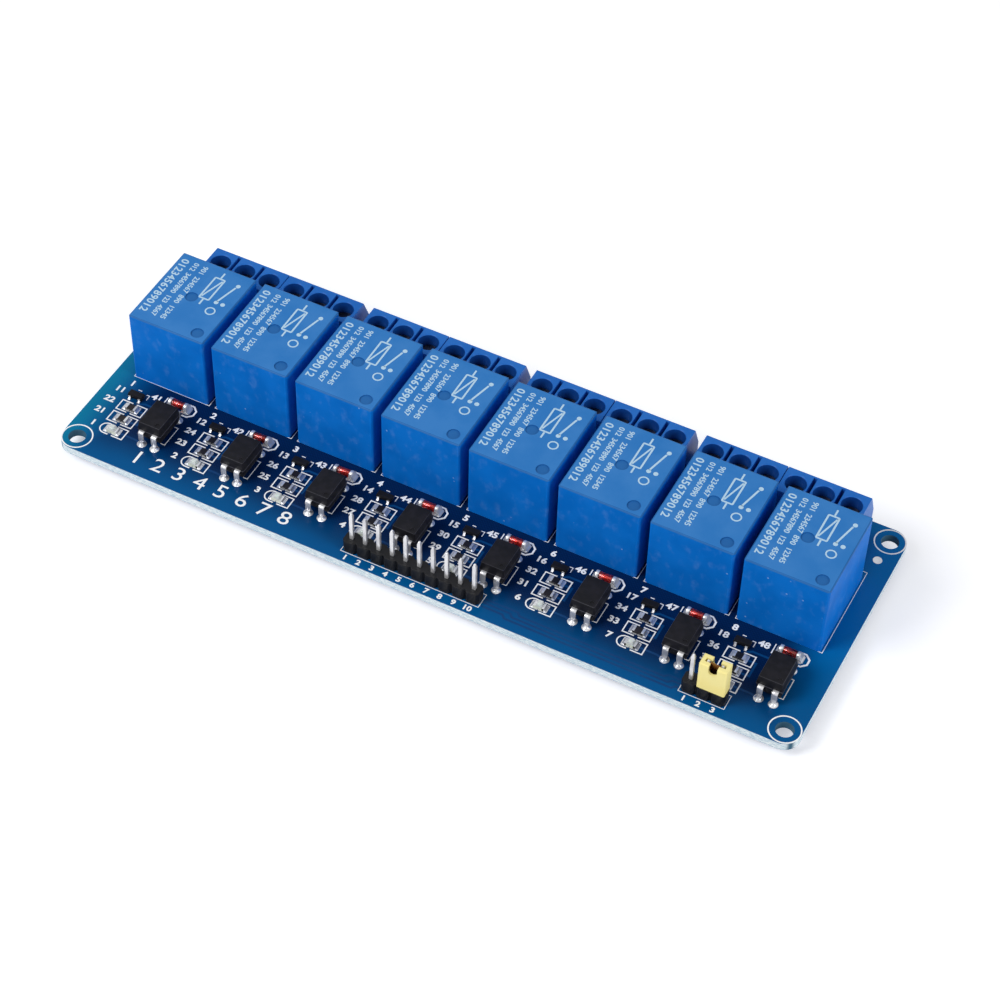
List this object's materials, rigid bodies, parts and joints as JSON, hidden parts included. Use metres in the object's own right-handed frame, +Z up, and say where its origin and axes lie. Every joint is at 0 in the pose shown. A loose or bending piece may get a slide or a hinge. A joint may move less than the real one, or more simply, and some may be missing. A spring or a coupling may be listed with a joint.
{
  "type": "relay module board",
  "caption": "Relay interface board with sealed relays, screw terminals, optocoupled driver parts, pin headers and a jumper cap on a long blue circuit board.",
  "frame": {"origin": "under the middle of the circuit board, at the tips of the soldered leads that the board stands on", "axes": "+X along the board, so that the jumper header is at the right end; +Y from the pin header edge to the screw terminal edge; +Z up, out of the component side"},
  "size_m": [0.138, 0.0502, 0.0185],
  "materials": {
    "board": "glossy solder mask on glass fibre board",
    "solder": "bright tin solder",
    "relay_case": "semi-gloss moulded plastic",
    "relay_base": "sealed with resin",
    "bobbin": "natural nylon",
    "copper_wire": "enamelled copper wire, for which brass stands in",
    "soft_iron": "plated soft iron",
    "contact_strip": "stamped strip with silver contacts",
    "tinned_pin": "tinned",
    "terminal_plastic": "semi-gloss moulded plastic",
    "terminal_screw": "zinc plated",
    "terminal_cage": "nickel plated brass",
    "black_epoxy": "moulded epoxy",
    "red_glass": "clear glass over a copper coloured core",
    "ceramic_chip": "black glazed top",
    "lamp_base": "pale laminate",
    "lamp_lens": "clear resin",
    "header_plastic": "moulded nylon",
    "jumper_plastic": "moulded nylon",
    "jumper_metal": "phosphor bronze"
  },
  "bodies": {
    "board": {"circuit_board": "board", "lead_solder": "solder", "surface_solder": "solder", "relay_bases": "relay_base", "relay_bobbins": "bobbin", "relay_coils": "copper_wire", "relay_cores": "soft_iron", "relay_yokes": "soft_iron", "relay_common_pins": "tinned_pin", "relay_coil_pins": "tinned_pin", "relay_open_contacts": "contact_strip", "relay_closed_contacts": "contact_strip", "terminal_screws": "terminal_screw", "terminal_cages": "terminal_cage", "terminal_wire_guards": "tinned_pin", "terminal_pins": "tinned_pin", "optocoupler_bodies": "black_epoxy", "optocoupler_leads": "tinned_pin", "diode_glass": "red_glass", "diode_caps": "tinned_pin", "transistor_bodies": "black_epoxy", "transistor_leads": "tinned_pin", "resistor_bodies": "ceramic_chip", "resistor_ends": "tinned_pin", "indicator_bases": "lamp_base", "indicator_lenses": "lamp_lens", "indicator_ends": "tinned_pin", "signal_header_body": "header_plastic", "signal_header_pins": "tinned_pin", "power_header_body": "header_plastic", "power_header_pins": "tinned_pin", "relay_cover_1": "relay_case", "terminal_housing_1": "terminal_plastic", "relay_cover_2": "relay_case", "terminal_housing_2": "terminal_plastic", "relay_cover_3": "relay_case", "terminal_housing_3": "terminal_plastic", "relay_cover_4": "relay_case", "terminal_housing_4": "terminal_plastic", "relay_cover_5": "relay_case", "terminal_housing_5": "terminal_plastic", "relay_cover_6": "relay_case", "terminal_housing_6": "terminal_plastic", "relay_cover_7": "relay_case", "terminal_housing_7": "terminal_plastic", "relay_cover_8": "relay_case", "terminal_housing_8": "terminal_plastic"},
    "jumper": {"jumper_cap": "jumper_plastic", "jumper_clip": "jumper_metal"},
    "armature_1": {"relay_armature_1": "soft_iron"},
    "armature_2": {"relay_armature_2": "soft_iron"},
    "armature_3": {"relay_armature_3": "soft_iron"},
    "armature_4": {"relay_armature_4": "soft_iron"},
    "armature_5": {"relay_armature_5": "soft_iron"},
    "armature_6": {"relay_armature_6": "soft_iron"},
    "armature_7": {"relay_armature_7": "soft_iron"},
    "armature_8": {"relay_armature_8": "soft_iron"}
  },
  "joints": [
    {"name": "jumper_slide", "type": "slide", "parent": "board", "child": "jumper", "axis": [0, 0, 1], "range_m": [0, 0.005]},
    {"name": "armature_1_hinge", "type": "hinge", "parent": "board", "child": "armature_1", "pos_m": [-0.0579, -0.00322, 0.01575], "axis": [-1, 0, 0], "range_deg": [0, 2.4], "stiffness_Nm_per_rad": 0.002, "springref_deg": -4.98},
    {"name": "armature_2_hinge", "type": "hinge", "parent": "board", "child": "armature_2", "pos_m": [-0.0414, -0.00322, 0.01575], "axis": [-1, 0, 0], "range_deg": [0, 2.4], "stiffness_Nm_per_rad": 0.002, "springref_deg": -4.98},
    {"name": "armature_3_hinge", "type": "hinge", "parent": "board", "child": "armature_3", "pos_m": [-0.0249, -0.00322, 0.01575], "axis": [-1, 0, 0], "range_deg": [0, 2.4], "stiffness_Nm_per_rad": 0.002, "springref_deg": -4.98},
    {"name": "armature_4_hinge", "type": "hinge", "parent": "board", "child": "armature_4", "pos_m": [-0.0084, -0.00322, 0.01575], "axis": [-1, 0, 0], "range_deg": [0, 2.4], "stiffness_Nm_per_rad": 0.002, "springref_deg": -4.98},
    {"name": "armature_5_hinge", "type": "hinge", "parent": "board", "child": "armature_5", "pos_m": [0.0081, -0.00322, 0.01575], "axis": [-1, 0, 0], "range_deg": [0, 2.4], "stiffness_Nm_per_rad": 0.002, "springref_deg": -4.98},
    {"name": "armature_6_hinge", "type": "hinge", "parent": "board", "child": "armature_6", "pos_m": [0.0246, -0.00322, 0.01575], "axis": [-1, 0, 0], "range_deg": [0, 2.4], "stiffness_Nm_per_rad": 0.002, "springref_deg": -4.98},
    {"name": "armature_7_hinge", "type": "hinge", "parent": "board", "child": "armature_7", "pos_m": [0.0411, -0.00322, 0.01575], "axis": [-1, 0, 0], "range_deg": [0, 2.4], "stiffness_Nm_per_rad": 0.002, "springref_deg": -4.98},
    {"name": "armature_8_hinge", "type": "hinge", "parent": "board", "child": "armature_8", "pos_m": [0.0576, -0.00322, 0.01575], "axis": [-1, 0, 0], "range_deg": [0, 2.4], "stiffness_Nm_per_rad": 0.002, "springref_deg": -4.98}
  ]
}
